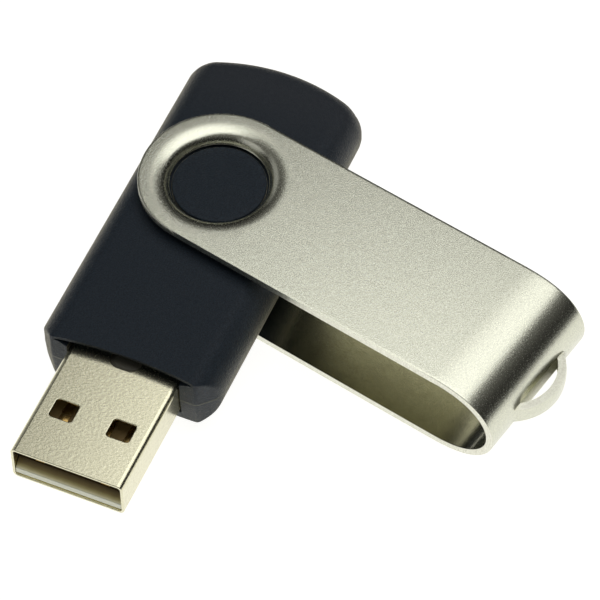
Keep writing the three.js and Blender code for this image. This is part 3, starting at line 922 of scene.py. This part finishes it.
def make_cover(materials):
    sheet = Sheet()
    places = across_places()
    for side in (1, -1):
        add_cover_end(sheet, side, places)
    add_cover_strip(sheet, places)
    turn = Matrix.Translation((0, 0, MIDDLE)) @ Matrix.Rotation(COVER_ANGLE, 4, "Z")
    mesh = mesh_from(sheet.closed(), "cover", turn)
    mesh = flat_weighted(soften(mesh, 50))
    return new_piece("swivel_cover_sheet", mesh, "cover", "swivel_cover", materials)


# ---------------------------------------------------------------- plug
def oval(front, long, wide, clearance=0.0):
    radius = long / 2 - clearance
    side = (wide - long) / 2
    x = front - long / 2
    ends = arc_points(x, side, radius, radius, 0, 180, 16)
    return ends + arc_points(x, -side, radius, radius, 180, 360, 16)


def window_prism(y, low, high):
    x = PLUG_TIP - WINDOW_NEAR - WINDOW_LONG / 2
    outline = rounded_rect(WINDOW_LONG / 2, WINDOW_WIDE / 2, WINDOW_CORNER, 6)
    return prism([(x + px, y + py) for px, py in outline], low, high)


def make_plug_shell(material):
    rear = PLUG_TIP - PLUG_LENGTH
    outer = prism(rounded_rect(PLUG_HALF_WIDTH, PLUG_HALF_HEIGHT, PLUG_CORNER, 10), rear, PLUG_TIP, "x")
    half_width, half_height = PLUG_HALF_WIDTH - PLUG_SHEET, PLUG_HALF_HEIGHT - PLUG_SHEET
    inner_outline = rounded_rect(half_width, half_height, PLUG_CORNER - PLUG_SHEET, 10)
    inner = prism(inner_outline, rear - 1 * MM, PLUG_TIP + 1 * MM, "x")
    cutters = [inner]
    for y in (WINDOW_AT, -WINDOW_AT):
        cutters += [window_prism(y, 0.5 * MM, 4 * MM), window_prism(y, -4 * MM, -0.5 * MM)]
    cutters.append(prism(oval(NOTCH_FRONT, NOTCH_LONG, NOTCH_WIDE), 0.5 * MM, 4 * MM))
    mesh = bevelled(minus(outer, *cutters), PLUG_EASE, 3, 50)
    mesh = flat_weighted(soften(shifted(mesh, MIDDLE), 35))
    return new_piece("plug_shell_sleeve", mesh, "case", "plug_shell", [material])


def make_insulator(material):
    half = PLUG_HALF_WIDTH - PLUG_SHEET - 0.05 * MM
    high = PLUG_HALF_HEIGHT - PLUG_SHEET - 0.05 * MM
    tip = PLUG_TIP - TONGUE_RECESS
    rear = PLUG_TIP - PLUG_LENGTH + 0.1 * MM
    side = [(rear, -high), (tip - TONGUE_CHIN, -high), (tip, -high + TONGUE_CHIN), (tip, TONGUE_NOSE)]
    side += [(tip - TONGUE_SLANT_LONG, TONGUE_TOP), (BLOCK_FRONT, TONGUE_TOP)]
    side += [(BLOCK_FRONT, high), (rear, high)]
    body = prism(side, -half, half, "y")
    slots = []
    slot_half = CONTACT_HALF + 0.03 * MM
    for name, y in CONTACT_AT.items():
        front, back = contact_front(name) + 0.05 * MM, rear - 1 * MM
        left, right = y - slot_half, y + slot_half
        slot = [(front, left), (front, right), (back, right), (back, left)]
        slots.append(prism(slot, CONTACT_TOP - CONTACT_THICK - 0.04 * MM, CONTACT_TOP + 0.03 * MM))
    mesh = bevelled(minus(body, *slots), 0.04 * MM, 2, 30)
    mesh = flat_weighted(soften(shifted(mesh, MIDDLE), 35))
    lug_outline = oval(NOTCH_FRONT, NOTCH_LONG, NOTCH_WIDE, LUG_GAP)
    lug = prism(lug_outline, high - 0.2 * MM, PLUG_HALF_HEIGHT - PLUG_SHEET)
    lug = soften(shifted(bevelled(lug, 0.12 * MM, 3, 50), MIDDLE), 35)
    both = bmesh.new()
    both.from_mesh(mesh)
    both.from_mesh(lug)
    joined = bpy.data.meshes.new("insulator")
    both.to_mesh(joined)
    both.free()
    return new_piece("plug_insulator_moulding", joined, "case", "plug_insulator", [material])


def contact_front(name):
    power = abs(CONTACT_AT[name]) == POWER_CONTACT_AT
    return PLUG_TIP - (POWER_CONTACT_INSET if power else DATA_CONTACT_INSET)


def make_contacts(material):
    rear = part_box("contact_vbus")[0].x
    for name, y in CONTACT_AT.items():
        front = contact_front(name)
        step = rear + CONTACT_FOOT_LONG
        under = CONTACT_TOP - CONTACT_THICK
        side = [(front, CONTACT_TOP - 0.12 * MM), (front - 0.3 * MM, CONTACT_TOP), (rear, CONTACT_TOP)]
        side += [(rear, CONTACT_FOOT), (step, CONTACT_FOOT), (step, under), (front, under)]
        mesh = prism(side, y - CONTACT_HALF, y + CONTACT_HALF, "y")
        mesh = soften(shifted(bevelled(mesh, 0.03 * MM, 2, 30), MIDDLE), 35)
        new_piece(name + "_strip", mesh, "case", name, [material])


# ---------------------------------------------------------------- stage
def make_floor():
    bm = bmesh.new()
    bmesh.ops.create_circle(bm, cap_ends=True, segments=96, radius=FLOOR_RADIUS)
    mesh = mesh_from(bm, "floor")
    floor = bpy.data.objects.new("floor", mesh)
    bpy.context.scene.collection.objects.link(floor)
    floor.location = (0, 0, CAD_BOX[0].z - FLOOR_GAP)
    n = Nodes("pale_floor")
    n.set(Base_Color=(0.3, 0.3, 0.3, 1), Roughness=0.8)
    n.set(Emission_Color=(1.0, 0.995, 0.975, 1), Emission_Strength=0.95)
    mesh.materials.append(n.material)


def make_world():
    """A dim room: a little light overhead and almost none near the horizon."""
    world = bpy.data.worlds.new("studio")
    world.use_nodes = True
    tree = world.node_tree
    bpy.context.scene.world = world
    back = tree.nodes["Background"]
    place = tree.nodes.new("ShaderNodeTexCoord").outputs["Generated"]
    split = tree.nodes.new("ShaderNodeSeparateXYZ")
    tree.links.new(place, split.inputs[0])
    ramp = tree.nodes.new("ShaderNodeValToRGB")
    tree.links.new(split.outputs["Z"], ramp.inputs["Fac"])
    stops = ((0.0, 0.015), (0.4, 0.015), (0.7, 0.10), (1.0, 0.15))
    fill_ramp(ramp, [(place_at, (value, value * 0.985, value * 0.93)) for place_at, value in stops])
    tree.links.new(ramp.outputs["Color"], back.inputs["Color"])
    back.inputs["Strength"].default_value = 1.0


def add_softbox(name, direction, distance, size, radiance):
    """A rectangular light that faces the object, with its width kept level."""
    data = bpy.data.lights.new(name, "AREA")
    data.shape = "RECTANGLE"
    data.size, data.size_y = size
    data.energy = radiance * math.pi * size[0] * size[1]
    light = bpy.data.objects.new(name, data)
    bpy.context.scene.collection.objects.link(light)
    aim = Vector(direction).normalized()
    light.location = LIGHT_TARGET + aim * distance
    light.rotation_mode = "QUATERNION"
    across = Vector((0, 1, 0)).cross(aim).normalized()
    up = aim.cross(across)
    light.rotation_quaternion = Matrix((across, up, aim)).transposed().to_quaternion()


def make_camera():
    """The main view: from the plug's end, looking steeply down through a long lens."""
    azimuth, elevation, roll = (math.radians(a) for a in (VIEW_AZIMUTH, VIEW_ELEVATION, VIEW_ROLL))
    level = math.cos(elevation)
    back = Vector((math.sin(azimuth) * level, -math.cos(azimuth) * level, math.sin(elevation)))
    data = bpy.data.cameras.new("camera")
    data.lens = LENS
    data.sensor_width = SENSOR_WIDTH
    camera = bpy.data.objects.new("camera", data)
    bpy.context.scene.collection.objects.link(camera)
    camera.location = VIEW_TARGET + back * VIEW_DISTANCE
    camera.rotation_mode = "QUATERNION"
    camera.rotation_quaternion = back.to_track_quat("Z", "Y") @ Matrix.Rotation(roll, 3, "Z").to_quaternion()
    data.clip_start, data.clip_end = 0.01, 10
    bpy.context.scene.camera = camera


# ---------------------------------------------------------------- build
make_camera()
make_floor()
make_world()
add_softbox("key_softbox", (-0.205, 0.13, 1.0), 0.32, (0.31, 0.32), 1.5)
add_softbox("side_strip", (-0.30, -0.95, 0.42), 0.4, (0.3, 0.22), 0.3)
add_softbox("fill_softbox", (0.62, -0.60, 0.50), 0.45, (0.34, 0.30), 0.45)

make_shells(soft_touch())
make_cover([satin_steel(), cut_steel(), shaded_inner_steel()])
make_plug_shell(nickel())
make_insulator(nylon())
make_contacts(plain("contact_gold", (0.70, 0.46, 0.15), (0.80, 0.56, 0.22), 0.28, 1.0))

INNER = {
    "circuit_board": solder_mask(),
    "chip_epoxy": plain("chip_epoxy", (0.012, 0.012, 0.013), (0.022, 0.022, 0.023), 0.55),
    "tinned_can": plain("tinned_can", (0.50, 0.50, 0.50), (0.62, 0.62, 0.61), 0.32, 1.0),
    "capacitor_ceramic": plain("capacitor_ceramic", (0.30, 0.19, 0.10), (0.38, 0.25, 0.14), 0.5),
}
slots = {entry["node"]: entry["material_slot"] for entry in frame["record"]["subparts"]}
for name, node in frame["nodes"].items():
    material = INNER.get(slots[name])
    if material:
        node.data.materials.clear()
        node.data.materials.append(material)

scene = bpy.context.scene
scene.view_settings.view_transform = "Standard"
scene.view_settings.look = "None"
